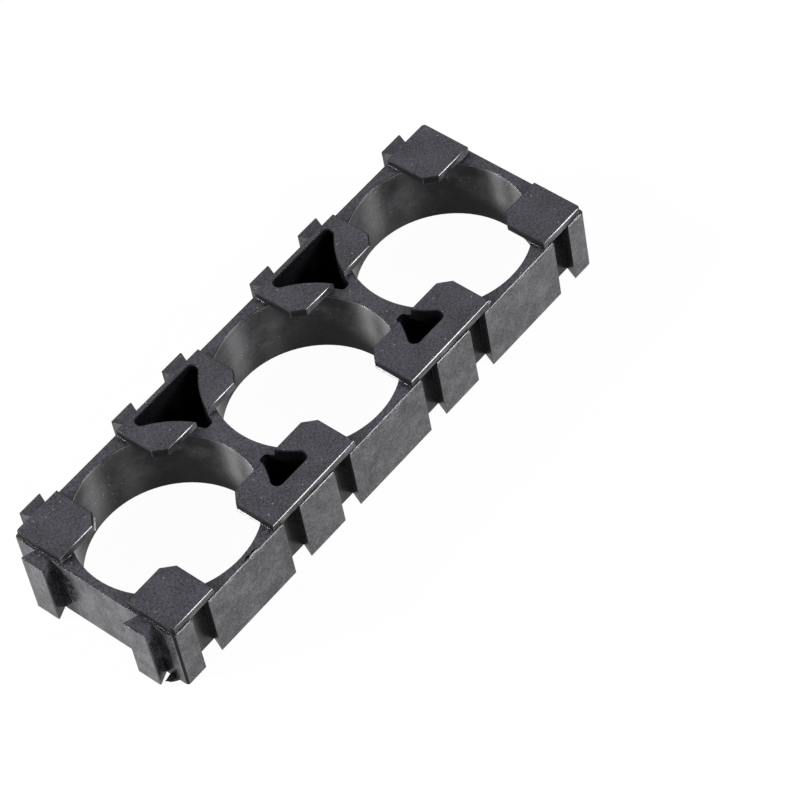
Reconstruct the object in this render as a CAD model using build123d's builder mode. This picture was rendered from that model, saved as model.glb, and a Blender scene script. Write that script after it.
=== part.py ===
"""Cell holder bracket: three round cell seats in one injection moulding.

The bracket lies on its plain underside with its stop tabs up. X runs along the row of
seats, Y across it and Z up. The origin is on the middle seat's axis, at the underside.
Dovetail ribs stand on the +Y side and the -X end, and the grooves that take another
bracket's ribs are in the -Y side and the +X end.
"""
import os
from math import sqrt

from build123d import *

# Cell seats, millimetres
CELL_COUNT = 3
BORE_DIAMETER = 18.5  # a bare 18.3 mm cell with running room
CELL_WALL = 0.9  # bore to the edge of the seat's own square
BODY_HEIGHT = 7.75

# Stop tabs over the corners of each seat
TAB_THICKNESS = 0.85
STOP_OVERHANG = 2.5  # how far a tab's cut corner reaches over the bore
TAB_CORNER_CUT = 1.15
TAB_INSET = 0.2  # tab edges stand back from the body's outer faces

# Dovetail ribs and the grooves that take them
LOCK_INSET = 3.65  # a lock's centre line from the edge of the seat's square
RIB_NECK = 1.8
RIB_TIP = 2.95
RIB_PROJECTION = 1.45
LOCK_GAP = 0.22  # room each side of a rib's neck in its groove
LOCK_TIP_GAP = 0.05  # room past a rib's tip
RIB_TIP_RADIUS = 0.12

# Core-out pockets in the webs, open at the top
POCKET_WALL = 1.0  # left between a pocket and the bores
POCKET_FLOOR = 1.0
POCKET_NOSE_WIDTH = 0.8915  # a pocket's narrow end, where it stops towards the row's centre line
RIB_SIDE_WALL = 0.8  # between a large pocket and the ribbed side
GROOVE_BACK_WALL = 1.2  # between a small pocket and the back of the grooves
POCKET_CORNER_RADIUS = 0.65
POCKET_NOSE_RADIUS = 0.4

# Ejector pin marks: shallow round recesses in the underside
MARK_DEPTH = 0.2
WEB_MARK_DIAMETER = 3.6
RIB_SIDE_MARK_INSET = 2.65  # web marks, from the ribbed side
GROOVE_SIDE_MARK_INSET = 3.65  # web marks, from the grooved side
RIBBED_CORNER_MARK = (3.0, 1.85, 2.0)  # diameter, then inset from the end and the side
MIXED_CORNER_MARK = (2.3, 1.4, 2.95)
POST_MARK = (1.5, 0.9, 0.8)

CORNER_RADIUS = 0.4  # upright outer corners of the body and its tabs
EDGE_BREAK = 0.1  # bevel round the top of each tab

bore_radius = BORE_DIAMETER / 2
cell_pitch = BORE_DIAMETER + 2 * CELL_WALL
half_cell = cell_pitch / 2
half_length = CELL_COUNT * half_cell
half_width = half_cell
overall_height = BODY_HEIGHT + TAB_THICKNESS
first_cell_x = -(CELL_COUNT - 1) * half_cell
first_web_x = first_cell_x + half_cell
lock_offset = half_cell - LOCK_INSET
groove_depth = RIB_PROJECTION + LOCK_TIP_GAP
flank_slope = (RIB_TIP - RIB_NECK) / 2 / RIB_PROJECTION
groove_mouth = RIB_NECK + 2 * LOCK_GAP
groove_back = groove_mouth + 2 * flank_slope * groove_depth

# A pocket's narrow end from the row's centre line, where the walls round the two bores are
# the nose's width apart
nose_place = sqrt((bore_radius + POCKET_WALL) ** 2 - (half_cell - POCKET_NOSE_WIDTH / 2) ** 2)

# A tab's straight edges from its seat's axis, so that the cut corner gives the overhang
tab_edge = ((bore_radius - STOP_OVERHANG) * sqrt(2) - TAB_CORNER_CUT) / 2

cell_places = [(first_cell_x + n * cell_pitch, 0) for n in range(CELL_COUNT)]
web_places = [(first_web_x + n * cell_pitch, 0) for n in range(CELL_COUNT - 1)]

# Locks stand in a pair on each seat's square: centre line places along a side
side_lock_places = [x + side * lock_offset for x, _ in cell_places for side in (-1, 1)]
end_lock_places = [-lock_offset, lock_offset]

# Corner marks with the end (-1 ribbed, +1 grooved) and side (-1 grooved, +1 ribbed) they are at
corner_marks = [
    (RIBBED_CORNER_MARK, -1, 1),
    (MIXED_CORNER_MARK, -1, -1),
    (POST_MARK, 1, 1),
    (POST_MARK, 1, -1),
]


def dovetail(narrow, wide, depth, tip_radius=0):
    """Draw a dovetail outline, narrow at the origin's line and wide towards +Y."""
    with BuildSketch(mode=Mode.PRIVATE) as outline:
        Polygon(
            (-narrow / 2, 0),
            (-wide / 2, depth),
            (wide / 2, depth),
            (narrow / 2, 0),
            align=None,
        )
        if tip_radius:
            fillet(outline.vertices().sort_by(Axis.Y)[-2:], radius=tip_radius)
    return outline.sketch


def pocket_outline(outer):
    """Draw one web pocket, from its nose out to a straight side at `outer` from the row."""
    with BuildSketch(mode=Mode.PRIVATE) as outline:
        with Locations((0, (outer + nose_place) / 2)):
            Rectangle(2 * half_cell, outer - nose_place)
        with Locations((-half_cell, 0), (half_cell, 0)):
            Circle(bore_radius + POCKET_WALL, mode=Mode.SUBTRACT)
        corners = outline.vertices().sort_by(Axis.Y)
        fillet(corners[2:], radius=POCKET_CORNER_RADIUS)
        nose_corners = outline.vertices().sort_by(Axis.Y)[:2]
        fillet(nose_corners, radius=POCKET_NOSE_RADIUS)
    return outline.sketch


# Outline of one stop tab, in the quarter of a seat's square towards +X and +Y
with BuildSketch() as stop_tab:
    tab_width = half_cell - tab_edge
    with Locations((tab_edge + tab_width / 2, tab_edge + tab_width / 2)):
        Rectangle(tab_width, tab_width)
    inner_corner = stop_tab.vertices().sort_by(Axis.X)[:2].sort_by(Axis.Y)[0]
    chamfer(inner_corner, length=TAB_CORNER_CUT)

rib = dovetail(RIB_NECK, RIB_TIP, RIB_PROJECTION, tip_radius=RIB_TIP_RADIUS)
groove = dovetail(groove_mouth, groove_back, groove_depth)
large_pocket = pocket_outline(half_width - RIB_SIDE_WALL)
small_pocket = pocket_outline(half_width - groove_depth - GROOVE_BACK_WALL)

with BuildPart() as cell_holder_bracket:
    # Body block with rounded upright corners
    with BuildSketch():
        RectangleRounded(2 * half_length, 2 * half_width, CORNER_RADIUS)
    extrude(amount=BODY_HEIGHT)

    # Dovetail ribs on the +Y side and the -X end
    with BuildSketch():
        with Locations(*[(along, half_width) for along in side_lock_places]):
            add(rib)
        with Locations(*[(-half_length, across) for across in end_lock_places]):
            add(rib, rotation=90)
    extrude(amount=BODY_HEIGHT)

    # Grooves in the -Y side and the +X end
    with BuildSketch():
        with Locations(*[(along, -half_width) for along in side_lock_places]):
            add(groove)
        with Locations(*[(half_length, across) for across in end_lock_places]):
            add(groove, rotation=90)
    extrude(amount=BODY_HEIGHT, mode=Mode.SUBTRACT)

    # Cell seats
    with BuildSketch():
        with Locations(*cell_places):
            Circle(bore_radius)
    extrude(amount=BODY_HEIGHT, mode=Mode.SUBTRACT)

    # Stop tabs, four over each seat, which also close the tops of the grooves
    with BuildSketch(Plane.XY.offset(BODY_HEIGHT)):
        for place in cell_places:
            with Locations(place):
                with PolarLocations(0, 4):
                    add(stop_tab.sketch)
        RectangleRounded(
            2 * (half_length - TAB_INSET),
            2 * (half_width - TAB_INSET),
            CORNER_RADIUS,
            mode=Mode.INTERSECT,
        )
    extrude(amount=TAB_THICKNESS)

    # Large pockets towards the ribs, small ones towards the grooves
    with BuildSketch(Plane.XY.offset(POCKET_FLOOR)):
        with Locations(*web_places):
            add(large_pocket)
            add(small_pocket, rotation=180)
    extrude(amount=overall_height - POCKET_FLOOR, mode=Mode.SUBTRACT)

    # Broken top edges of the tabs
    chamfer(cell_holder_bracket.faces().group_by(Axis.Z)[-1].edges(), length=EDGE_BREAK)

    # Ejector pin marks: one each side of every web, and one at every corner
    with BuildSketch():
        for x, _ in web_places:
            with Locations(
                (x, half_width - RIB_SIDE_MARK_INSET),
                (x, GROOVE_SIDE_MARK_INSET - half_width),
            ):
                Circle(WEB_MARK_DIAMETER / 2)
        for mark, end, side in corner_marks:
            diameter, end_inset, side_inset = mark
            with Locations((end * (half_length - end_inset), side * (half_width - side_inset))):
                Circle(diameter / 2)
    extrude(amount=MARK_DEPTH, mode=Mode.SUBTRACT)

cell_holder_bracket.part.label = "cell_holder_bracket"

os.makedirs("parts", exist_ok=True)
export_step(cell_holder_bracket.part, "parts/cell_holder_bracket.step")
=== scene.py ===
"""Looks of the battery cell holder bracket.

The moulding is dressed as black injection moulded plastic: spark-textured tops, scuffed
sides, turned seats, and the thin flash and small damage that moulding and use leave.
Some light and shade is painted into the colours: the end walls, long sides and tabs' sides
are lighter for painted sheen, the core walls darker for painted shade, the flash pale for
painted highlight, the seats' top strips and the side's top edge carry painted highlights
and shade, and a black strip of painted shade lies in the crack behind the fin.
Lengths in the dataclasses are millimetres in the CAD frame; meshes are in metres.
"""
import logging
import math
from dataclasses import dataclass
from enum import Enum
from typing import Optional, Sequence

import bmesh
import bpy
import numpy as np
from mathutils import Matrix


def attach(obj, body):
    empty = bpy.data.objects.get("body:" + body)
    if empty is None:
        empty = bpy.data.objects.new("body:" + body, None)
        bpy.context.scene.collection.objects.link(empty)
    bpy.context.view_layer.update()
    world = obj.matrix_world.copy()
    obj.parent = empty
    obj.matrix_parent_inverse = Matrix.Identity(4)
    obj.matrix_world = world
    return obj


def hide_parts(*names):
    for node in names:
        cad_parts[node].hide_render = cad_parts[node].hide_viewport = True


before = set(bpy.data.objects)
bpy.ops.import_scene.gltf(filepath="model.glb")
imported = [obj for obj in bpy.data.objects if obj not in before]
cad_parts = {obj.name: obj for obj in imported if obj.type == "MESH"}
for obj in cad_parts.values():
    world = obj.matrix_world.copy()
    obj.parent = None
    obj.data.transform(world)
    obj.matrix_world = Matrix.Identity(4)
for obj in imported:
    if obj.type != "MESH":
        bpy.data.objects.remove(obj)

LOG = logging.getLogger("bracket")
MM = 0.001
BODY = "root"
CAD_NODE = "cell_holder_bracket"
UV_NAME = "wall_mm"

# How far a face's normal points along an axis
HARDLY = 0.3
MOSTLY = 0.9
WHOLLY = 0.999

# The bracket's driving sizes, millimetres
PITCH = 20.3
SEAT_PLACES = (-PITCH, 0.0, PITCH)
BORE_RADIUS = 9.25
HALF_CELL = PITCH / 2
HALF_LENGTH = 3 * HALF_CELL
BODY_HEIGHT = 7.75
CORNER_RADIUS = 0.4
LOCK_OFFSET = 6.5  # a groove's centre line from its seat's axis
TAB_FACE = 4.198  # a tab's straight edges from its seat's axis
TAB_CORNER = TAB_FACE + 1.15  # the far end of its cut corner

Colour = tuple[float, float, float]
Socket = bpy.types.NodeSocket
Object = bpy.types.Object
Mesh = bpy.types.Mesh


class Surface(Enum):
    """The kinds of wall on the moulding, each with its own finish."""

    TOP = 0
    LONG_SIDE = 1
    END = 2
    SEAT = 3
    HIDDEN = 4
    TAB_EDGE = 5
    BROKEN_EDGE = 6
    TAB_SIDE = 7
    TORN = 8
    FLASH_PAINTED_HIGHLIGHT = 9
    CRACK_PAINTED_SHADE = 10


# Node graphs


class Graph:
    """Writes one material's node tree, a line a node."""

    def __init__(self, name: str) -> None:
        """Start an empty material.

        Args:
            name: Name of the material.
        """
        self.material = bpy.data.materials.new(name)
        self.material.use_nodes = True
        self.tree = self.material.node_tree
        self.tree.nodes.clear()
        self.shader = self.node("ShaderNodeBsdfPrincipled")
        self.output = self.node("ShaderNodeOutputMaterial")
        self.link(self.shader.outputs["BSDF"], self.output.inputs["Surface"])

    def node(self, kind: str, **settings: object) -> bpy.types.Node:
        """Add a node.

        Args:
            kind: Blender's name of the node type.
            settings: Properties to set on it.

        Returns:
            The new node.
        """
        made = self.tree.nodes.new(kind)
        for key, value in settings.items():
            setattr(made, key, value)
        return made

    def link(self, source: Socket, target: Socket) -> None:
        """Join an output, the source, to an input, the target."""
        self.tree.links.new(source, target)

    def feed(self, target: Socket, value: object) -> None:
        """Put a constant or another node's output into a socket.

        Args:
            target: Socket that takes the value.
            value: A socket, a number or a tuple.
        """
        if isinstance(value, Socket):
            self.link(value, target)
        else:
            target.default_value = value

    def maths(self, operation: str, *values: object, clamp: bool = False) -> Socket:
        """Add a Math node over sockets or numbers.

        Args:
            operation: Math operation.
            values: Its inputs, in order.
            clamp: Whether the result is held to 0..1.

        Returns:
            The result's socket.
        """
        made = self.node("ShaderNodeMath", operation=operation, use_clamp=clamp)
        for socket, value in zip(made.inputs, values):
            self.feed(socket, value)
        return made.outputs[0]

    def scaled(self, vector: Socket, size: Sequence[float], turn: float = 0.0) -> Socket:
        """Stretch a pattern's coordinates, after turning them in their plane.

        Args:
            vector: Coordinates.
            size: Repeats in each direction for one unit.
            turn: Angle of the pattern in the plane, degrees.

        Returns:
            The new coordinates.
        """
        turned = vector
        if turn:
            rotate = self.node("ShaderNodeVectorRotate", rotation_type="Z_AXIS")
            self.link(vector, rotate.inputs["Vector"])
            rotate.inputs["Angle"].default_value = math.radians(turn)
            turned = rotate.outputs["Vector"]
        multiply = self.node("ShaderNodeVectorMath", operation="MULTIPLY")
        self.link(turned, multiply.inputs[0])
        multiply.inputs[1].default_value = tuple(size)
        return multiply.outputs[0]

    def noise(self, vector: Socket, scale: float, detail: float, rough: float) -> Socket:
        """Fractal noise, 0..1 about 0.5.

        Args:
            vector: Coordinates.
            scale: Repeats a unit.
            detail: Octaves.
            rough: Weight of the finer octaves.

        Returns:
            The noise's socket.
        """
        made = self.node("ShaderNodeTexNoise")
        self.link(vector, made.inputs["Vector"])
        made.inputs["Scale"].default_value = scale
        made.inputs["Detail"].default_value = detail
        made.inputs["Roughness"].default_value = rough
        return made.outputs["Fac"]

    def ranged(
        self, value: Socket, low: float, high: float, out_low: float, out_high: float
    ) -> Socket:
        """Map a range to another with both ends held.

        Args:
            value: Input.
            low: Input that gives out_low.
            high: Input that gives out_high.
            out_low: Result at low.
            out_high: Result at high.

        Returns:
            The mapped socket.
        """
        made = self.node("ShaderNodeMapRange")
        for socket, number in zip(made.inputs, (value, low, high, out_low, out_high)):
            self.feed(socket, number)
        return made.outputs[0]

    def mixed(self, share: object, first: object, second: Colour) -> Socket:
        """Mix two colours.

        Args:
            share: Share of the second.
            first: First colour, or the socket that gives it.
            second: Second colour.

        Returns:
            The colour's socket.
        """
        made = self.node("ShaderNodeMix", data_type="RGBA")
        self.feed(made.inputs[0], share)
        self.feed(made.inputs[6], first if isinstance(first, Socket) else (*first, 1.0))
        made.inputs[7].default_value = (*second, 1.0)
        return made.outputs[2]

    def bump(self, height: Socket, depth: float, under: Optional[Socket] = None) -> Socket:
        """Turn a height into a normal.

        Args:
            height: Height, 0..1.
            depth: Height of 1, in millimetres.
            under: A normal from a coarser bump.

        Returns:
            The normal's socket.
        """
        made = self.node("ShaderNodeBump")
        made.inputs["Strength"].default_value = 1.0
        made.inputs["Distance"].default_value = depth * MM
        self.link(height, made.inputs["Height"])
        if under is not None:
            self.link(under, made.inputs["Normal"])
        return made.outputs["Normal"]

    def specks(self, size: float, spacing: float, kept: float) -> Socket:
        """Scattered dots on the wall map, one or none to a cell.

        Args:
            size: Radius of a dot, millimetres.
            spacing: Size of a cell, millimetres.
            kept: Share of the cells that have a dot.

        Returns:
            1 inside the dots and 0 outside.
        """
        dots = self.node("ShaderNodeTexVoronoi", voronoi_dimensions="2D")
        self.link(self.wall_mm(), dots.inputs["Vector"])
        dots.inputs["Scale"].default_value = 1 / spacing
        rim = size / spacing
        core = SPECK_CORE * size / spacing
        near = self.ranged(dots.outputs["Distance"], core, rim, 1.0, 0.0)
        pick = self.node("ShaderNodeSeparateColor")
        self.link(dots.outputs["Color"], pick.inputs[0])
        return self.maths("MULTIPLY", near, self.maths("LESS_THAN", pick.outputs[0], kept))

    def object_mm(self) -> Socket:
        """Object coordinates in millimetres."""
        place = self.node("ShaderNodeTexCoord")
        return self.scaled(place.outputs["Object"], (1 / MM,) * 3)

    def wall_mm(self) -> Socket:
        """The piece's own map: run along the wall, then height, in millimetres."""
        return self.node("ShaderNodeUVMap", uv_map=UV_NAME).outputs["UV"]

    def wall_height(self) -> Socket:
        """Height up the wall, from the wall map.

        Returns:
            The height's socket, in millimetres.
        """
        parts = self.node("ShaderNodeSeparateXYZ")
        self.link(self.wall_mm(), parts.inputs[0])
        return parts.outputs[1]


# Finishes

PLASTIC_INDEX = 1.5
SKIN_ROUGHNESS = 0.12
GRAIN_RAMP = (0.35, 0.68)  # the noise at which the grain is darkest and lightest
GLOSS_RAMP = (0.3, 0.7)
STREAK_RAMP = (0.25, 0.6)
CLOUD_SCALE = 0.35  # slow changes of tone, repeats a millimetre
CLOUD_RAMP = (0.3, 0.7)
CLOUD_TONE = (-0.15, 0.2)  # what they take from the tone and add to it
WAVE_SCALE = 0.55  # a wall's slow waviness, repeats a millimetre
PATCH_SCALE = 0.5  # patches where the streaks fade, repeats a millimetre
PATCH_RAMP = (0.35, 0.65)
PATCH_SHARE = 0.35  # what is left of a streak there
SPECK_SIZE = 0.075  # a speck of dust
SPECK_SPACING = 1.1
SPECK_CORE = 0.4  # share of its radius that is fully light
SPECK_COLOUR = (0.26, 0.26, 0.28)
RIM_LINE_WIDTH = (0.02, 0.07)  # from the line's middle, where it begins and ends to fade
RIM_LINE_DEPTH = 0.03
RIM_HIGHLIGHT_ABOVE = (0.16, 0.22)  # where the painted highlight begins above a rim line, and where it is full
RIM_HIGHLIGHT_SCALE = (0.35, 2.5, 1.0)  # repeats a millimetre, along the rim and up it
RIM_HIGHLIGHT_RAMP = (0.42, 0.58)
RIM_HIGHLIGHT_SHARE = (0.1, 0.75)  # least and most painted highlight along the rim
RIM_HIGHLIGHT_COLOUR = (0.22, 0.22, 0.23)
EDGE_PAINT_SCALE = (0.9, 0.0, 1.0)  # repeats a millimetre, along the edge
EDGE_PAINT_SWING = 1.3  # how far the painted edge line wanders, millimetres
EDGE_HIGHLIGHT_HEIGHT = (0.08, 0.04)  # the painted highlight below the top edge, from and to
EDGE_SHADE_HEIGHT = (0.02, 0.05)  # the painted shade above it
EDGE_PAINT_REACH = (0.45, 0.4)  # the lowest the painted highlight and shade reach below the top edge
EDGE_HIGHLIGHT_COLOUR = (0.3, 0.3, 0.32)


@dataclass(frozen=True)
class Plastic:
    """One finish of the black plastic, with its sizes in millimetres.

    Attributes:
        name: Name of the material.
        dark: Colour of its deepest parts.
        light: Colour of its lightest parts.
        gloss: Roughness, lowest and highest.
        grain: Size of the fine grain.
        grain_depth: Depth of the fine grain.
        streak: Length and width of the drawn streaks.
        streak_turn: Angle of the streaks from the wall's run, degrees.
        streak_depth: Depth of the streaks.
        streak_tint: How strongly the streaks lighten the colour.
        specular: Strength of the plastic's shine at its face.
        along_drag: How far the shine is drawn out across the turning marks.
        contrast: How strongly the fine grain lightens the colour.
        grain_detail: Octaves of the fine grain.
        specks: Share of the wall map's cells with a light speck of dust.
        wave_depth: Depth of the wall's slow waviness.
        rim_line: Height of a fine line left by the mould's edge, and the foot of the painted
            highlight above it.
        skin: Strength of the smooth moulded skin that shines at a low angle.
        skin_index: Refractive index of that skin.
        painted_rim_height: Height of a top edge with dark notches of painted shade, each with a
            line of painted highlight below it.
    """

    name: str
    dark: Colour = (0.007, 0.007, 0.0085)
    light: Colour = (0.016, 0.016, 0.019)
    gloss: tuple[float, float] = (0.34, 0.5)
    grain: float = 0.16
    grain_depth: float = 0.006
    streak: tuple[float, float] = (2.0, 0.1)
    streak_turn: float = 0.0
    streak_depth: float = 0.0
    streak_tint: float = 0.0
    specular: float = 0.8
    along_drag: float = 0.0
    contrast: float = 0.8
    grain_detail: float = 3.0
    specks: float = 0.0
    wave_depth: float = 0.0
    rim_line: float = 0.0
    skin: float = 0.0
    skin_index: float = 1.15
    painted_rim_height: float = 0.0

    def make(self) -> bpy.types.Material:
        """Build the material.

        Returns:
            The material.
        """
        graph = Graph(self.name)
        place = graph.object_mm()
        grain = graph.noise(place, 1 / self.grain, self.grain_detail, 0.6)
        cloud = graph.noise(place, CLOUD_SCALE, 3, 0.55)
        tone = graph.ranged(grain, *GRAIN_RAMP, 0.0, self.contrast)
        tone = graph.maths("ADD", tone, graph.ranged(cloud, *CLOUD_RAMP, *CLOUD_TONE))
        rough = graph.ranged(grain, *GLOSS_RAMP, *self.gloss)
        normal = None
        if self.wave_depth:
            normal = graph.bump(graph.noise(place, WAVE_SCALE, 2, 0.5), self.wave_depth)
        normal = graph.bump(grain, self.grain_depth, under=normal)
        if self.streak_depth:
            lines = self.streaks(graph, place)
            tint = graph.ranged(lines, *STREAK_RAMP, 0.0, self.streak_tint)
            tone = graph.maths("ADD", tone, tint)
            normal = graph.bump(lines, self.streak_depth, under=normal)
        colour = graph.mixed(graph.maths("ADD", tone, 0.0, clamp=True), self.dark, self.light)
        if self.rim_line:
            from_line = graph.maths("SUBTRACT", graph.wall_height(), self.rim_line)
            line = graph.ranged(graph.maths("ABSOLUTE", from_line), *RIM_LINE_WIDTH, 1.0, 0.0)
            normal = graph.bump(line, RIM_LINE_DEPTH, under=normal)
            # painted highlight: a lighter strip above the rim line, in broken runs
            colour = self.seat_rim_painted_highlight(graph, colour)
        # painted highlight and painted shade along the wall's top edge
        if self.painted_rim_height:
            colour = self.edge_painted_highlight_and_shade(graph, colour)
        if self.specks:
            dust = graph.specks(SPECK_SIZE, SPECK_SPACING, self.specks)
            colour = graph.mixed(dust, colour, SPECK_COLOUR)
        graph.feed(graph.shader.inputs["Base Color"], colour)
        graph.feed(graph.shader.inputs["Roughness"], rough)
        graph.feed(graph.shader.inputs["Normal"], normal)
        self.shine(graph)
        return graph.material

    def streaks(self, graph: Graph, place: Socket) -> Socket:
        """Drawn or turned lines along the wall, which fade in patches.

        Args:
            graph: Material's graph.
            place: Object coordinates, millimetres.

        Returns:
            Height of the lines, 0..1.
        """
        along, across = self.streak
        wall = graph.scaled(graph.wall_mm(), (1, 1, 1), self.streak_turn)
        lines = graph.noise(graph.scaled(wall, (1 / along, 1 / across, 1)), 1.0, 4, 0.65)
        patches = graph.noise(place, PATCH_SCALE, 2, 0.5)
        share = graph.ranged(patches, *PATCH_RAMP, PATCH_SHARE, 1.0)
        return graph.maths("MULTIPLY", lines, share)

    def seat_rim_painted_highlight(self, graph: Graph, colour: Socket) -> Socket:
        """Paint a highlight on the strip above the rim line, in broken runs along it: the
        lighter colour stands for the light that catches the seat's upper wall.

        Args:
            graph: Material's graph.
            colour: Colour so far.

        Returns:
            The colour with its painted rim highlight.
        """
        start, full = (self.rim_line + above for above in RIM_HIGHLIGHT_ABOVE)
        runs = graph.noise(graph.scaled(graph.wall_mm(), RIM_HIGHLIGHT_SCALE), 1.0, 3, 0.6)
        lit_share = graph.ranged(runs, *RIM_HIGHLIGHT_RAMP, *RIM_HIGHLIGHT_SHARE)
        strip = graph.ranged(graph.wall_height(), start, full, 0.0, 1.0)
        return graph.mixed(graph.maths("MULTIPLY", lit_share, strip), colour, RIM_HIGHLIGHT_COLOUR)

    def edge_painted_highlight_and_shade(self, graph: Graph, colour: Socket) -> Socket:
        """Paint the wall's top edge ragged: dark notches of painted shade, of uneven depth, each
        with a line of painted highlight below it.

        The edge is the wall's height lowered by a noise along its run.

        Args:
            graph: Material's graph.
            colour: Colour so far.

        Returns:
            The colour with its painted highlight and shade.
        """
        top, height = self.painted_rim_height, graph.wall_height()
        wander = graph.noise(graph.scaled(graph.wall_mm(), EDGE_PAINT_SCALE), 1.0, 5, 0.6)
        lowered = graph.maths("MULTIPLY", graph.maths("SUBTRACT", wander, 0.5), EDGE_PAINT_SWING)
        level = graph.maths("ADD", height, lowered)
        gap_low, gap_high = (top + above for above in EDGE_SHADE_HEIGHT)
        lip_low, lip_high = (top - below for below in EDGE_HIGHLIGHT_HEIGHT)
        reach_low, reach_high = (top - below for below in EDGE_PAINT_REACH)
        # the dark notches, gap, are painted shade; the bright line, lip, is painted highlight
        gap = graph.ranged(level, gap_low, gap_high, 0.0, 1.0)
        lip = graph.ranged(level, lip_low, lip_high, 0.0, 1.0)
        lip = graph.maths("MULTIPLY", lip, graph.maths("SUBTRACT", 1.0, gap))
        within = graph.ranged(height, reach_low, reach_high, 0.0, 1.0)
        colour = graph.mixed(graph.maths("MULTIPLY", lip, within), colour, EDGE_HIGHLIGHT_COLOUR)
        return graph.mixed(graph.maths("MULTIPLY", gap, within), colour, self.dark)

    def shine(self, graph: Graph) -> None:
        """Set the shader's shine, its skin and the way the shine is drawn out.

        Args:
            graph: Material's graph.
        """
        inputs = graph.shader.inputs
        inputs["IOR"].default_value = PLASTIC_INDEX
        inputs["Specular IOR Level"].default_value = self.specular
        if self.skin:
            inputs["Coat Weight"].default_value = self.skin
            inputs["Coat Roughness"].default_value = SKIN_ROUGHNESS
            inputs["Coat IOR"].default_value = self.skin_index
        if self.along_drag:
            inputs["Anisotropic"].default_value = self.along_drag
            inputs["Anisotropic Rotation"].default_value = 0.25
            tangent = graph.node("ShaderNodeTangent", direction_type="UV_MAP", uv_map=UV_NAME)
            graph.link(tangent.outputs[0], inputs["Tangent"])


FINISHES: dict[Surface, Plastic] = {
    Surface.TOP: Plastic(
        "plastic_spark_top", dark=(0.002, 0.002, 0.004), light=(0.055, 0.053, 0.071),
        gloss=(0.42, 0.62), specular=0.5, grain=0.22, grain_depth=0.014, grain_detail=2.0,
        contrast=1.05, specks=0.16,
    ),
    Surface.TAB_EDGE: Plastic("plastic_tab_edge", gloss=(0.5, 0.65), specular=0.12),
    # painted sheen: the tabs' sides are lighter for the reflection along them, besides their
    # streaks
    Surface.TAB_SIDE: Plastic(
        "plastic_tab_side_painted_sheen", dark=(0.004, 0.004, 0.005), light=(0.13, 0.13, 0.14),
        gloss=(0.35, 0.5), specular=0.45, contrast=0.4, streak=(3.0, 0.09), streak_depth=0.006,
        streak_tint=0.9,
    ),
    Surface.BROKEN_EDGE: Plastic(
        "plastic_broken_edge", gloss=(0.18, 0.28), specular=0.7, grain=0.3, grain_depth=0.004,
    ),
    # painted sheen: the side's light colour stands partly for the floor's reflection in it,
    # besides its scratches and mottling
    Surface.LONG_SIDE: Plastic(
        "plastic_scuffed_side_painted_sheen", dark=(0.001, 0.001, 0.002), light=(0.12, 0.117, 0.134),
        gloss=(0.22, 0.36), specular=0.7, grain=0.19, grain_depth=0.007, grain_detail=1.0,
        contrast=0.6, streak=(1.6, 0.1), streak_turn=-16.0, streak_depth=0.008,
        streak_tint=0.45, wave_depth=0.005, painted_rim_height=BODY_HEIGHT, specks=0.14,
    ),
    # painted sheen: the end walls' light colour stands partly for the floor's reflection in
    # them, besides their drawn streaks
    Surface.END: Plastic(
        "plastic_drawn_end_painted_sheen", dark=(0.006, 0.006, 0.007), light=(0.104, 0.101, 0.118),
        gloss=(0.16, 0.28), specular=0.33, grain=0.3, grain_depth=0.002, grain_detail=1.0,
        contrast=0.55, streak=(2.5, 0.22), streak_turn=90.0, streak_depth=0.008,
        streak_tint=0.75, wave_depth=0.01, specks=0.14,
    ),
    # painted highlight: a lighter strip above its rim line stands for light on the seat's upper
    # wall
    Surface.SEAT: Plastic(
        "plastic_turned_seat", dark=(0.003, 0.003, 0.004), light=(0.05, 0.05, 0.055),
        gloss=(0.46, 0.54), specular=0.52, skin=1.0, along_drag=1.0, grain=0.4,
        grain_depth=0.004, contrast=0.6, streak=(7.0, 0.13), streak_depth=0.008,
        streak_tint=0.8, wave_depth=0.02, rim_line=7.3, specks=0.2,
    ),
    # painted shade: the core-out, pocket and groove walls are darker than the other walls for
    # the shade in these recesses
    Surface.HIDDEN: Plastic(
        "plastic_core_wall_painted_shade", dark=(0.003, 0.003, 0.004), light=(0.008, 0.008, 0.01),
        gloss=(0.24, 0.34), grain_depth=0.002,
    ),
    # painted highlight: the flash is the same black plastic, made pale for the light its thin
    # edges catch
    Surface.FLASH_PAINTED_HIGHLIGHT: Plastic(
        "plastic_flash_painted_highlight", dark=(0.13, 0.13, 0.14), light=(0.42, 0.42, 0.44),
        gloss=(0.36, 0.5), specular=1.0, grain=0.3,
    ),
    # painted shade: the crack's dark inside, laid on as a black sheet
    Surface.CRACK_PAINTED_SHADE: Plastic(
        "painted_crack_shade", dark=(0.0, 0.0, 0.0), light=(0.002, 0.002, 0.002), gloss=(0.7, 0.8),
        specular=0.0,
    ),
    Surface.TORN: Plastic(
        "plastic_torn_flash", dark=(0.02, 0.02, 0.022), light=(0.16, 0.16, 0.17),
        gloss=(0.25, 0.4), specular=0.9,
    ),
}


# Meshes


def new_object(name: str, points: np.ndarray, faces: Sequence[Sequence[int]]) -> Object:
    """Put computed points and faces into an object at the origin.

    Args:
        name: Name of the piece.
        points: Points in millimetres, one row each.
        faces: Point numbers of each face.

    Returns:
        The object.
    """
    mesh = bpy.data.meshes.new(name)
    mesh.from_pydata((points * MM).tolist(), [], [list(f) for f in faces])
    mesh.update()
    made = bpy.data.objects.new(name, mesh)
    bpy.context.scene.collection.objects.link(made)
    return made


def read(items: object, name: str, width: int = 1, kind: type = float) -> np.ndarray:
    """Read one value of every point, face or corner of a mesh.

    Args:
        items: The mesh's points, faces or corners.
        name: Name of the value.
        width: Numbers in each value.
        kind: Kind of number.

    Returns:
        The values, a row each where they have more than one number.
    """
    values = np.empty(len(items) * width, kind)
    items.foreach_get(name, values)
    return values.reshape(-1, width) if width > 1 else values


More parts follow.
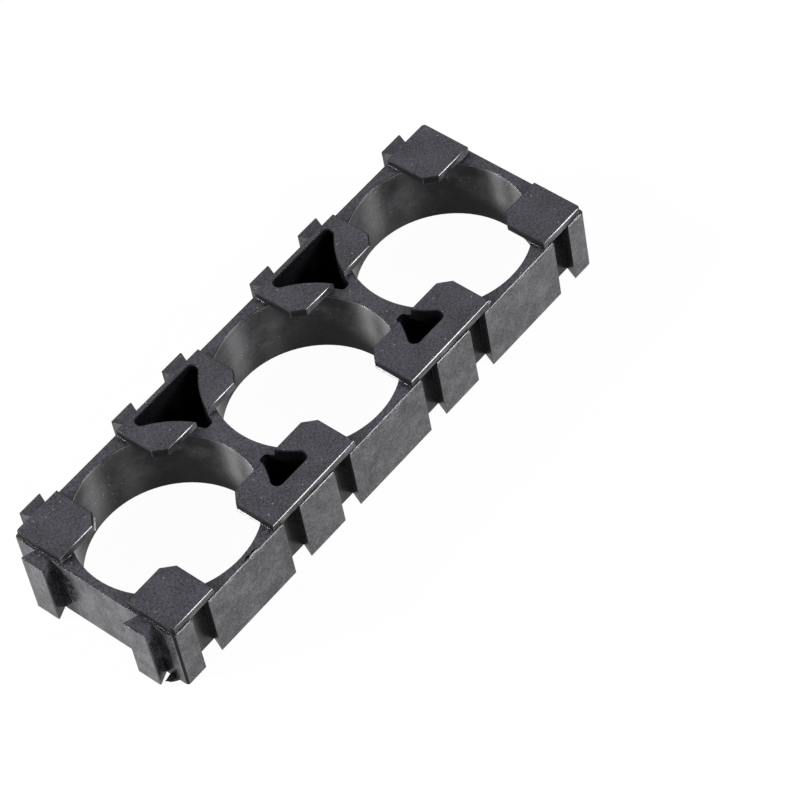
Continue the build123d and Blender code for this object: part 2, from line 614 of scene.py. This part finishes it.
@dataclass
class Moulding:
    """The bracket itself: the CAD solid with broken edges and a finish on every wall.

    Attributes:
        pitch: Distance between the seats' axes.
        bore_radius: Radius of a seat.
        half_cell: Half of a seat's square.
        half_length: Half of the body's length, without its ribs.
        half_width: Half of the body's width, without its ribs.
        body_height: Height of the body, without its tabs.
        outer_strip: Depth within which a wall is part of the outside.
        rib_side_strip: Width of the strip along the ribs where rims are dull.
        core_span: Y of the core-outs, from and to.
        core_slack: Least distance of a core-out's wall from a seat's.
        bore_slack: How far a seat wall's middle may be from the bore's radius.
        seam_at: Angle from which a point is by a seat's seam, radians.
        seam_past: Angle below which it is past the seam, radians.
        glossy_side: Y of its normal below which a bevelled rim is glossy.
        slant: How far a face of a rounded corner points both ways, at least.
        proud: How far a rib's faces stand out of the body, at least.
        weld: How near points have to be to be merged, in metres.
        edge_round: Size of a broken edge.
        crease: Angle from which an edge is sharp, degrees.
        chamfer_share: Share of that size on a tab's bevelled edge.
        rib_share: Share of that size on a rib's edges.
    """

    pitch: float = PITCH
    bore_radius: float = BORE_RADIUS
    half_cell: float = HALF_CELL
    half_length: float = HALF_LENGTH
    half_width: float = HALF_CELL
    body_height: float = BODY_HEIGHT
    outer_strip: float = 0.25
    rib_side_strip: float = 1.0
    core_span: tuple[float, float] = (-7.6, 9.45)
    core_slack: float = 0.3
    bore_slack: float = 0.03
    seam_at: float = 3.0
    seam_past: float = -2.5
    glossy_side: float = -0.6
    slant: float = 0.25
    proud: float = 0.01
    weld: float = 2e-7
    edge_round: float = 0.05
    crease: float = 28.0
    chamfer_share: float = 0.3
    rib_share: float = 0.3

    def build(self, cad: Object) -> Object:
        """Copy the CAD solid, weld its loose triangles together and round its edges.

        Args:
            cad: The CAD node's object.

        Returns:
            The piece.
        """
        mesh = bpy.data.meshes.new("bracket_moulding")
        work = bmesh.new()
        work.from_mesh(cad.data)
        bmesh.ops.remove_doubles(work, verts=work.verts, dist=self.weld)
        work.to_mesh(mesh)
        work.free()
        piece = bpy.data.objects.new("bracket_moulding", mesh)
        bpy.context.scene.collection.objects.link(piece)
        mesh.shade_smooth()
        self.sort_walls(mesh)
        self.mark_edges(mesh)
        bevel = piece.modifiers.new("edge_round", "BEVEL")
        bevel.width = self.edge_round * MM
        bevel.segments = 2
        bevel.limit_method = "WEIGHT"
        bevel.material = Surface.BROKEN_EDGE.value
        bevel.use_clamp_overlap = False
        bevel.face_strength_mode = "FSTR_ALL"
        flat = piece.modifiers.new("flat_walls", "WEIGHTED_NORMAL")
        flat.keep_sharp = True
        flat.use_face_influence = True
        self.keep_inside(piece)
        return piece

    def keep_inside(self, piece: Object) -> None:
        """Settle the rounded edges, with every point held inside the solid's own box.

        A point outside the box moves straight to its nearest side.

        Args:
            piece: The piece, with its rounding as a modifier.
        """
        own = read(piece.data.vertices, "co", 3)
        bpy.context.view_layer.update()
        settled = piece.evaluated_get(bpy.context.evaluated_depsgraph_get())
        rounded = bpy.data.meshes.new_from_object(settled)
        points = np.clip(read(rounded.vertices, "co", 3), own.min(axis=0), own.max(axis=0))
        rounded.vertices.foreach_set("co", points.ravel())
        rounded.update()
        self.flatten(rounded)
        plain = piece.data
        piece.modifiers.clear()
        piece.data = rounded
        bpy.data.meshes.remove(plain)
        rounded.name = piece.name

    def flatten(self, mesh: Mesh) -> None:
        """Shade every level face flat, up to its very edge.

        Args:
            mesh: Mesh with its rounded edges settled.
        """
        shading = read(mesh.corner_normals, "vector", 3)
        sizes = read(mesh.polygons, "loop_total", kind=np.int32)
        facing = np.repeat(read(mesh.polygons, "normal", 3), sizes, axis=0)
        level = np.abs(facing[:, 2:]) > WHOLLY
        mesh.normals_split_custom_set(np.where(level, facing, shading).tolist())

    def sort_walls(self, mesh: Mesh) -> None:
        """Give each face its finish and its wall map.

        A face whose middle is one bore radius from a seat's axis is a seat wall. The
        others go by the way they look. The wall map holds the run along the wall, which
        on a seat is its arc, and the height.

        Args:
            mesh: Mesh to sort.
        """
        normals = read(mesh.polygons, "normal", 3)
        centres = read(mesh.polygons, "center", 3) / MM
        nearest = np.clip(np.round(centres[:, 0] / self.pitch), -1, 1) * self.pitch
        reach = np.hypot(centres[:, 0] - nearest, centres[:, 1])
        rise = np.abs(normals[:, 2])
        upright = rise < HARDLY
        seat = upright & (np.abs(reach - self.bore_radius) < self.bore_slack)
        kind = np.full(len(normals), Surface.HIDDEN.value)
        kind[~upright] = Surface.TOP.value
        outer_y = np.abs(centres[:, 1]) > self.half_width - self.outer_strip
        outer_x = np.abs(centres[:, 0]) > self.half_length - self.outer_strip
        kind[upright & outer_y & (np.abs(normals[:, 1]) > HARDLY)] = Surface.LONG_SIDE.value
        kind[upright & outer_x & (np.abs(normals[:, 0]) > HARDLY)] = Surface.END.value
        tab_edge = upright & (centres[:, 2] > self.body_height)
        kind[tab_edge] = Surface.TAB_EDGE.value
        kind[tab_edge & (np.abs(normals[:, 1]) > MOSTLY)] = Surface.TAB_SIDE.value
        kind[seat] = Surface.SEAT.value
        chamfer = ~upright & (rise < MOSTLY)
        kind[chamfer] = Surface.TAB_EDGE.value
        at_ribs = centres[:, 1] > self.half_width - self.rib_side_strip
        kind[chamfer & (normals[:, 1] < self.glossy_side) & ~at_ribs] = Surface.BROKEN_EDGE.value
        for surface in Surface:
            mesh.materials.append(FINISH_MATERIALS[surface])
        finish = kind.copy()
        # painted shade: the rounded corner by the ribbed end takes the darker tab-edge finish
        # for the shade on it
        near_corner = outer_x & outer_y & (centres[:, 0] < 0) & (centres[:, 1] < 0)
        slanting = np.abs(normals[:, :2]).min(axis=1) > self.slant
        finish[upright & near_corner & slanting & ~tab_edge] = Surface.TAB_EDGE.value
        mesh.polygons.foreach_set("material_index", finish.astype(np.int32))
        self.write_wall_map(mesh, normals, kind, nearest)

    def mark_edges(self, mesh: Mesh) -> None:
        """Mark the edges to round: the sharp ones, except round the core-outs.

        The angle at an edge is that between its two faces' normals.

        Args:
            mesh: Mesh whose edges to mark.
        """
        normals = read(mesh.polygons, "normal", 3)
        centres = read(mesh.polygons, "center", 3) / MM
        sizes = read(mesh.polygons, "loop_total", kind=np.int32)
        edges = read(mesh.loops, "edge_index", kind=np.int32)
        owner = np.repeat(np.arange(len(sizes)), sizes)
        order = np.argsort(edges, kind="stable")
        pairs = owner[order].reshape(-1, 2)
        numbers = edges[order].reshape(-1, 2)[:, 0]
        cosine = np.einsum("ij,ij->i", normals[pairs[:, 0]], normals[pairs[:, 1]])
        x, y = centres[:, 0], centres[:, 1]
        rise = np.abs(normals[:, 2])
        core = (rise < HARDLY) & (np.abs(x) < 2 * self.half_cell)
        core &= (y > self.core_span[0]) & (y < self.core_span[1])
        axis = np.clip(np.round(x / self.pitch), -1, 1) * self.pitch
        core &= np.abs(np.hypot(x - axis, y) - self.bore_radius) > self.core_slack
        core &= centres[:, 2] < self.body_height
        free = ~(core[pairs[:, 0]] | core[pairs[:, 1]])
        chamfer = (rise >= HARDLY) & (rise < MOSTLY)
        by_chamfer = chamfer[pairs[:, 0]] | chamfer[pairs[:, 1]]
        weights = np.zeros(len(mesh.edges), np.float32)
        sharp = cosine < math.cos(math.radians(self.crease))
        share = np.where(by_chamfer, self.chamfer_share, 1.0)
        rib = np.maximum(-self.half_length - x, y - self.half_width) > self.proud
        share[rib[pairs[:, 0]] | rib[pairs[:, 1]]] = self.rib_share
        weights[numbers] = np.where(sharp & free, share, 0.0)
        crisp = np.zeros(len(mesh.edges), bool)
        crisp[numbers] = sharp & ~free
        for name, kind, values in (
            ("sharp_edge", "BOOLEAN", crisp),
            ("bevel_weight_edge", "FLOAT", weights),
        ):
            mesh.attributes.new(name, kind, "EDGE").data.foreach_set("value", values)

    def write_wall_map(
        self, mesh: Mesh, normals: np.ndarray, kind: np.ndarray, nearest: np.ndarray
    ) -> None:
        """Write the wall map, in millimetres.

        Args:
            mesh: Mesh to map.
            normals: Face normals.
            kind: Surface number of each face.
            nearest: X of the seat axis nearest to each face.
        """
        sizes = read(mesh.polygons, "loop_total", kind=np.int32)
        owner = np.repeat(np.arange(len(sizes)), sizes)
        corner = read(mesh.loops, "vertex_index", kind=np.int32)
        place = read(mesh.vertices, "co", 3)[corner] / MM
        along_x = np.abs(normals[owner, 1]) >= np.abs(normals[owner, 0])
        run = np.where(along_x, place[:, 0], place[:, 1])
        height = place[:, 2].copy()
        flat = np.abs(normals[owner, 2]) >= HARDLY
        run[flat], height[flat] = place[flat, 0], place[flat, 1]
        seat = kind[owner] == Surface.SEAT.value
        angle = np.arctan2(place[:, 1], place[:, 0] - nearest[owner])
        by_seam = np.zeros(len(sizes))
        np.add.at(by_seam, owner, np.where(np.abs(angle) > self.seam_at, 1.0, 0.0))
        wraps = (by_seam[owner] > 0) & (angle < self.seam_past)
        arc = np.where(wraps, angle + 2 * np.pi, angle) * self.bore_radius
        run[seat] = arc[seat]
        layer = mesh.uv_layers.new(name=UV_NAME)
        layer.data.foreach_set("uv", np.stack([run, height], 1).ravel())


@dataclass
class PartingFlash:
    """The ragged fin that the mould squeezes out along the grooved side's top edge.

    Attributes:
        groove_places: X of the grooves.
        half_mouth: Half of a groove's mouth.
        margin: Room between the fin and a groove's mouth.
        end: X where the fin ends.
        line_y: Y of its line.
        foot: Height of its foot.
        bead: Height of the thin bead that runs all the way.
        tallest: Height of the fin at its tallest.
        tallest_at: X of the tallest part.
        spread: How far the tall part reaches.
        base_share: Share of that height that the fin has everywhere.
        far_share: Share that the last land's end has besides.
        far_land: X from which that is.
        swings: How strongly the slow and the fine random line change the height.
        middles: The values of the two lines at which they add nothing.
        thick: Thickness.
        per_mm: Stations a millimetre.
        seed: Seed of the random lines.
    """

    groove_places: tuple[float, ...] = tuple(
        seat + side * LOCK_OFFSET for seat in SEAT_PLACES for side in (-1, 1)
    )
    half_mouth: float = 1.12
    margin: float = 0.08
    end: float = HALF_LENGTH - CORNER_RADIUS
    line_y: float = 0.05 - HALF_CELL
    foot: float = BODY_HEIGHT - 0.07
    bead: float = 0.11
    tallest: float = 0.3
    tallest_at: float = -19.8
    spread: float = 2.6
    base_share: float = 0.12
    far_share: float = 0.35
    far_land: float = 27.0
    swings: tuple[float, float] = (6.0, 0.9)
    middles: tuple[float, float] = (0.47, 0.35)
    thick: float = 0.07
    per_mm: int = 14
    seed: int = 4

    def build(self) -> Object:
        """Carry a four-point wedge along each land between the grooves.

        The height is that of a thin bead, plus the tallest fin times a smooth random
        line, which is strongest on the second land and falls off away from it.

        Returns:
            The piece.
        """
        random = np.random.default_rng(self.seed)
        starts = [-self.end, *(g + self.half_mouth + self.margin for g in self.groove_places)]
        ends = [*(g - self.half_mouth - self.margin for g in self.groove_places), self.end]
        lands = []
        for start, end in zip(starts, ends):
            count = max(6, int((end - start) * self.per_mm))
            x = np.linspace(start, end, count)
            fine = smoothed(random, count, 5)
            wide = smoothed(random, count, 15)
            hump = np.exp(-(((x - self.tallest_at) / self.spread) ** 2))
            strength = self.base_share + (1 - self.base_share) * hump
            strength = strength + self.far_share * (x > self.far_land)
            slow = self.swings[0] * (wide - self.middles[0])
            quick = self.swings[1] * (fine - self.middles[1])
            ragged = np.clip(slow + quick, 0, 1)
            height = self.bead + 0.03 * fine + self.tallest * strength * ragged
            height[[0, -1]] = 0.02
            lean = 0.05 * (smoothed(random, count, 9) - 0.5)
            half = self.thick / 2
            line, foot = np.full_like(x, self.line_y), np.full_like(x, self.foot)
            lands.append(np.stack([
                np.stack([x, line - half, foot + 0.35 * height], 1),
                np.stack([x, line + half * 0.9 + lean, foot + height], 1),
                np.stack([x, line + half * 1.6 + lean, foot + height * 0.96], 1),
                np.stack([x, line + half * 1.4, foot], 1),
            ], 1))
        return tubes("parting_flash", lands)


@dataclass
class RimCrackShade:
    """A black strip of painted shade that stands for the open crack behind the tallest fin,
    where it is bent away from the rim.

    Attributes:
        line: X and Y of the crack's middle.
        widths: How wide it is open at each of those places.
        level: Height of the surface it is in.
        proud: How far the strip stands over that surface.
        sunk: How far the strip reaches below it.
    """

    line: tuple[tuple[float, float], ...] = (
        (-20.3, -9.86), (-20.05, -9.8), (-19.75, -9.74), (-19.5, -9.8),
        (-19.25, -9.83), (-18.9, -9.76), (-18.6, -9.82), (-18.35, -9.9),
    )
    widths: tuple[float, ...] = (0.02, 0.1, 0.24, 0.16, 0.22, 0.26, 0.14, 0.02)
    level: float = BODY_HEIGHT
    proud: float = 0.006
    sunk: float = 0.02

    def build(self) -> Object:
        """Carry a flat closed strip, black with painted shade, along the crack's line, as wide
        as the crack is open.

        Returns:
            The piece.
        """
        middle, half = np.array(self.line), np.array(self.widths) / 2
        x, y = middle[:, 0], middle[:, 1]
        low = np.full_like(x, self.level - self.sunk)
        high = np.full_like(x, self.level + self.proud)
        rings = np.stack([
            np.stack([x, y - half, high], 1),
            np.stack([x, y + half, high], 1),
            np.stack([x, y + half, low], 1),
            np.stack([x, y - half, low], 1),
        ], 1)
        return tubes("rim_crack_painted_shade", [rings])


@dataclass
class TabLips:
    """Thin lips of flash along the undersides of the tabs' edges over the seats.

    Attributes:
        lip_end: Y, on the grooved side, where the lips along the tabs end.
        runs: X and Y where each lip starts and ends, on a tab's edge.
        level: Height of the tabs' undersides.
        gap: How far the lip stays above that.
        out: How far the lip stands out.
        ripples: Least share of that, and how much the ripple adds to it.
        steepness: How quickly it runs out at its ends.
        root: How far it reaches back into the tab.
        stations: Stations along each lip.
        seed: Seed of the ripple.
    """

    lip_end: float = -8.448
    runs: tuple[tuple[float, float, float, float], ...] = (
        (TAB_FACE, -TAB_CORNER, TAB_FACE, lip_end),
        (TAB_FACE - PITCH, -TAB_CORNER, TAB_FACE - PITCH, lip_end),
        (-TAB_CORNER - PITCH, TAB_FACE, -TAB_FACE - PITCH, TAB_CORNER),
    )
    level: float = BODY_HEIGHT
    gap: float = 0.005
    out: float = 0.15
    ripples: tuple[float, float] = (0.65, 0.7)
    steepness: float = 12.0
    root: float = 0.03
    stations: int = 70
    seed: int = 9

    def build(self) -> Object:
        """Carry a thin wedge along each run, which has its outer side to the right.

        The lip's width, and its height, are `out` times a slow random ripple, and run out at
        its ends.

        Returns:
            The piece.
        """
        random = np.random.default_rng(self.seed)
        share = np.linspace(0, 1, self.stations)[:, None]
        lips = []
        for run in self.runs:
            start, end = np.array(run[:2]), np.array(run[2:])
            ahead = (end - start) / np.linalg.norm(end - start)
            outward = np.array([ahead[1], -ahead[0]])
            line = start + (end - start) * share
            ripple = smoothed(random, self.stations, 11)[:, None]
            run_out = np.minimum(1, self.steepness * np.minimum(share + 0.02, 1.02 - share))
            width = self.out * (self.ripples[0] + self.ripples[1] * ripple) * run_out
            under = np.full_like(width, self.level + self.gap)
            lips.append(np.stack([
                np.hstack([line, under + width]),
                np.hstack([line + outward * width, under + 0.01]),
                np.hstack([line + outward * width, under]),
                np.hstack([line - outward * self.root, under]),
            ], 1))
        return tubes("tab_lips", lips)


@dataclass
class TornFlake:
    """The torn flake of flash at the foot of the ribbed end, beside a rib.

    Attributes:
        outline: X and Y of its corners.
        off_floor: How far its underside is above the floor.
        thick: Thickness.
        dip: Share of the thickness by which its upper face goes up and down.
        shoulder: Size of its upper face's even part, as a share of the outline's.
        finer: Parts that each side of the outline is cut into.
        rough: How far the rim's points are shaken.
        seed: Seed of the shaking.
    """

    outline: tuple[tuple[float, float], ...] = (
        (-31.36, -7.99), (-30.9, -7.93), (-30.39, -7.82), (-29.98, -7.86),
        (-29.71, -7.98), (-29.9, -8.3), (-30.16, -8.68), (-30.22, -8.95),
        (-30.4, -9.07), (-30.72, -8.86), (-31.09, -8.53), (-31.2, -8.2),
    )
    off_floor: float = 0.01
    thick: float = 0.12
    dip: float = 0.25
    shoulder: float = 0.55
    finer: int = 5
    rough: float = 0.035
    seed: int = 12

    def build(self) -> Object:
        """Close a ragged sheet: the outline cut finer and shaken, above and below.

        Its upper face goes up and down by a slow sine of the way round.

        Returns:
            The piece.
        """
        random = np.random.default_rng(self.seed)
        corners = np.array(self.outline)
        share = np.linspace(0, 1, self.finer, endpoint=False)[None, :, None]
        after = np.roll(corners, -1, axis=0)
        rim = (corners[:, None] * (1 - share) + after[:, None] * share).reshape(-1, 2)
        rim = rim + self.rough * (random.random(rim.shape) - 0.5)
        count = len(rim)
        turn = np.linspace(0, 2 * np.pi, count, endpoint=False)
        top = self.thick * (1 - self.dip + self.dip * np.sin(3 * turn))
        middle = rim.mean(axis=0)
        inner = middle + (rim - middle) * self.shoulder
        points = np.concatenate([
            np.column_stack([rim, np.full(count, self.off_floor)]),
            np.column_stack([rim, top * 0.5]),
            np.column_stack([inner, top]),
            [[*middle, self.thick * 0.9]],
            [[*middle, self.off_floor]],
        ])
        i = np.arange(count)
        j = (i + 1) % count
        low = np.stack([i, j, j + count, i + count], 1)
        high = np.stack([i + count, j + count, j + 2 * count, i + 2 * count], 1)
        cap = np.stack([i + 2 * count, j + 2 * count, np.full(count, 3 * count)], 1)
        foot = np.stack([j, i, np.full(count, 3 * count + 1)], 1)
        faces = [f for part in (low, high, cap, foot) for f in part.tolist()]
        return new_object("torn_flake", points, faces)


@dataclass
class EdgeBurr:
    """A small knot of plastic left at the outer corner of a tab.

    Attributes:
        place: Its middle.
        size: Its half sizes.
        around: Points round it.
        up: Rings from its foot to its top.
        lumps: Share of its radius by which it is uneven.
        seed: Seed of its lumps.
    """

    place: tuple[float, float, float] = (16.0, -9.9, 8.38)
    size: tuple[float, float, float] = (0.26, 0.12, 0.17)
    around: int = 18
    up: int = 10
    lumps: float = 0.2
    seed: int = 21

    def build(self) -> Object:
        """Make a lumpy ball: a sphere's grid with its radius shaken.

        Returns:
            The piece.
        """
        random = np.random.default_rng(self.seed)
        turns = np.linspace(0, 2 * np.pi, self.around, endpoint=False)
        rises = np.linspace(-np.pi / 2, np.pi / 2, self.up)
        turn, rise = np.meshgrid(turns, rises, indexing="xy")
        radius = 1 - self.lumps * random.random(turn.shape)
        radius[[0, -1]] = 0.9
        level = np.cos(rise)
        ball = np.stack([level * np.cos(turn), level * np.sin(turn), np.sin(rise)], -1)
        ball = ball * radius[..., None] * np.array(self.size) + np.array(self.place)
        return tubes("edge_burr", [ball])


def smoothed(random: np.random.Generator, count: int, window: int) -> np.ndarray:
    """A smooth random line: each value is the mean of `window` neighbouring numbers.

    Args:
        random: Generator to draw from.
        count: Number of values.
        window: Numbers in each mean, odd.

    Returns:
        The values, 0..1.
    """
    return np.convolve(random.random(count + window - 1), np.ones(window) / window, "valid")


def tubes(name: str, parts: Sequence[np.ndarray]) -> Object:
    """Put closed tubes into one object.

    A face joins each side of a ring to the next ring's, and a cap closes each end.

    Args:
        name: Name of the piece.
        parts: Each tube's points, ring by ring and round the ring, millimetres.

    Returns:
        The object.
    """
    faces, first = [], 0
    for rings in parts:
        stations, around = rings.shape[:2]
        i, j = np.meshgrid(np.arange(stations - 1), np.arange(around), indexing="ij")
        k = (j + 1) % around
        this, after = first + i * around, first + (i + 1) * around
        quads = np.stack([this + j, this + k, after + k, after + j], -1)
        end = first + stations * around
        faces += quads.reshape(-1, 4).tolist()
        faces += [range(first + around - 1, first - 1, -1), range(end - around, end)]
        first = end
    return new_object(name, np.concatenate([part.reshape(-1, 3) for part in parts]), faces)


# Studio


@dataclass
class Studio:
    """Floor, lights, surroundings and camera.

    Attributes:
        floor_half: Half of the floor's side.
        floor_drop: How far the floor lies under the bracket.
        floor_glow: How white it is to the camera.
        floor_sheen: How white it is in a reflection.
        floor_colour: Its grey, as seen.
        floor_bounce: Its grey for the light it sends to the bracket.
        ambient: Strength of the even light.
        lens: Focal length.
        sensor: Width of the sensor.
        camera_place: The camera's place.
        camera_turn: Its turn about X, Y and Z, degrees.
        lamps: Name, place, size and watts of each soft box.
    """

    floor_half: float = 900.0
    floor_drop: float = 0.01
    floor_glow: float = 0.97
    floor_sheen: float = 0.45
    floor_colour: float = 0.92
    floor_bounce: float = 0.2
    ambient: float = 0.1
    sensor: float = 36.0
    lens: float = 172.655
    camera_place: tuple[float, float, float] = (-146.07, -180.37, 291.05)
    camera_turn: tuple[float, float, float] = (37.9777, 7.4072, -50.4257)
    lamps: tuple[tuple[str, tuple[float, float, float], float, float], ...] = (
        ("left_box", (-240.0, 384.0, 211.0), 110.0, 2.0),
        ("left_end_box", (-397.0, 239.0, 187.0), 80.0, 2.1),
        ("right_box", (215.0, -385.0, 242.0), 150.0, 2.2),
        ("front_box", (-106.0, -397.0, 190.0), 130.0, 0.5),
        ("overhead_back", (246.0, 282.0, 468.0), 300.0, 0.6),
    )

    def floor(self) -> None:
        """Lay the pale floor just under the bracket."""
        half = self.floor_half
        side = np.linspace(-half, half, 3)
        u, v = np.meshgrid(side, side, indexing="ij")
        points = np.stack([u, v, np.full_like(u, -self.floor_drop)], -1).reshape(-1, 3)
        faces = [(0, 3, 4, 1), (1, 4, 5, 2), (3, 6, 7, 4), (4, 7, 8, 5)]
        made = new_object("floor", points, faces)
        graph = Graph("floor_white")
        graph.shader.inputs["Roughness"].default_value = 0.9
        graph.shader.inputs["Specular IOR Level"].default_value = 0.0
        path = graph.node("ShaderNodeLightPath")
        greys = (self.floor_colour,) * 3, (self.floor_bounce,) * 3
        shade = graph.mixed(path.outputs["Is Diffuse Ray"], *greys)
        graph.feed(graph.shader.inputs["Base Color"], shade)
        glow = graph.node("ShaderNodeEmission")
        graph.feed(glow.inputs["Color"], (1, 1, 1, 1))
        both = graph.node("ShaderNodeMixShader")
        seen = graph.maths("MULTIPLY", path.outputs["Is Camera Ray"], self.floor_glow)
        seen = graph.maths("MULTIPLY_ADD", path.outputs["Is Glossy Ray"], self.floor_sheen, seen)
        graph.feed(both.inputs[0], seen)
        graph.link(graph.shader.outputs[0], both.inputs[1])
        graph.link(glow.outputs[0], both.inputs[2])
        graph.link(both.outputs[0], graph.output.inputs["Surface"])
        made.data.materials.append(graph.material)

    def surroundings(self) -> None:
        """White for what sees it, and a soft even light for the rest."""
        world = bpy.data.worlds.new("studio")
        bpy.context.scene.world = world
        world.use_nodes = True
        nodes, links = world.node_tree.nodes, world.node_tree.links
        nodes.clear()
        path = nodes.new("ShaderNodeLightPath")
        level = nodes.new("ShaderNodeMapRange")
        links.new(path.outputs["Is Camera Ray"], level.inputs[0])
        level.inputs[3].default_value = self.ambient
        level.inputs[4].default_value = 1.0
        back = nodes.new("ShaderNodeBackground")
        links.new(level.outputs[0], back.inputs["Strength"])
        out = nodes.new("ShaderNodeOutputWorld")
        links.new(back.outputs[0], out.inputs["Surface"])

    def lights(self) -> None:
        """Hang the soft boxes, each aimed at the bracket."""
        for name, place, size, watts in self.lamps:
            data = bpy.data.lights.new(name, "AREA")
            data.shape = "SQUARE"
            data.size = size * MM
            data.energy = watts
            lamp = bpy.data.objects.new(name, data)
            bpy.context.scene.collection.objects.link(lamp)
            back = np.array(place) / np.linalg.norm(place)
            side = np.cross((0, 0, 1), back)
            side /= np.linalg.norm(side)
            made = np.eye(4)
            made[:3, :3] = np.column_stack([side, np.cross(back, side), back])
            made[:3, 3] = np.array(place) * MM
            lamp.matrix_world = Matrix(made.tolist())

    def camera(self) -> None:
        """Stand the camera at the viewing angle."""
        data = bpy.data.cameras.new("camera")
        data.sensor_width = self.sensor
        data.lens = self.lens
        made = bpy.data.objects.new("camera", data)
        bpy.context.scene.collection.objects.link(made)
        made.location = np.array(self.camera_place) * MM
        made.rotation_euler = np.radians(self.camera_turn)
        bpy.context.scene.camera = made

    def build(self) -> None:
        """Set up the whole studio."""
        self.floor()
        self.surroundings()
        self.lights()
        self.camera()
        bpy.context.scene.view_settings.view_transform = "Standard"


def dress(piece: Object, surface: Optional[Surface] = None) -> Object:
    """Put a piece on the bracket's body, in the bracket's plastic.

    Args:
        piece: Finished object.
        surface: Finish to give it, where it has none yet.

    Returns:
        The same object.
    """
    if surface is not None:
        piece.data.materials.append(FINISH_MATERIALS[surface])
    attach(piece, BODY)
    return piece


FINISH_MATERIALS = {surface: finish.make() for surface, finish in FINISHES.items()}


def main() -> None:
    logging.basicConfig(level=logging.INFO, format="%(name)s: %(message)s")
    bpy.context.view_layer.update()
    Studio().build()
    moulding = dress(Moulding().build(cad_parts[CAD_NODE]))
    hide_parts(CAD_NODE)
    LOG.info("%s: %d faces", moulding.name, len(moulding.data.polygons))
    # flash, damage and painted light: the flash pieces take the pale finish of painted
    # highlight, and the crack strip is painted shade
    wear_and_painted_light = (
        (PartingFlash(), Surface.FLASH_PAINTED_HIGHLIGHT),
        (RimCrackShade(), Surface.CRACK_PAINTED_SHADE),
        (TabLips(), Surface.FLASH_PAINTED_HIGHLIGHT),
        (TornFlake(), Surface.TORN),
        (EdgeBurr(), Surface.FLASH_PAINTED_HIGHLIGHT),
    )
    for assembly, surface in wear_and_painted_light:
        piece = dress(assembly.build(), surface)
        LOG.info("%s: %d faces", piece.name, len(piece.data.polygons))


if __name__ == "__main__":
    main()
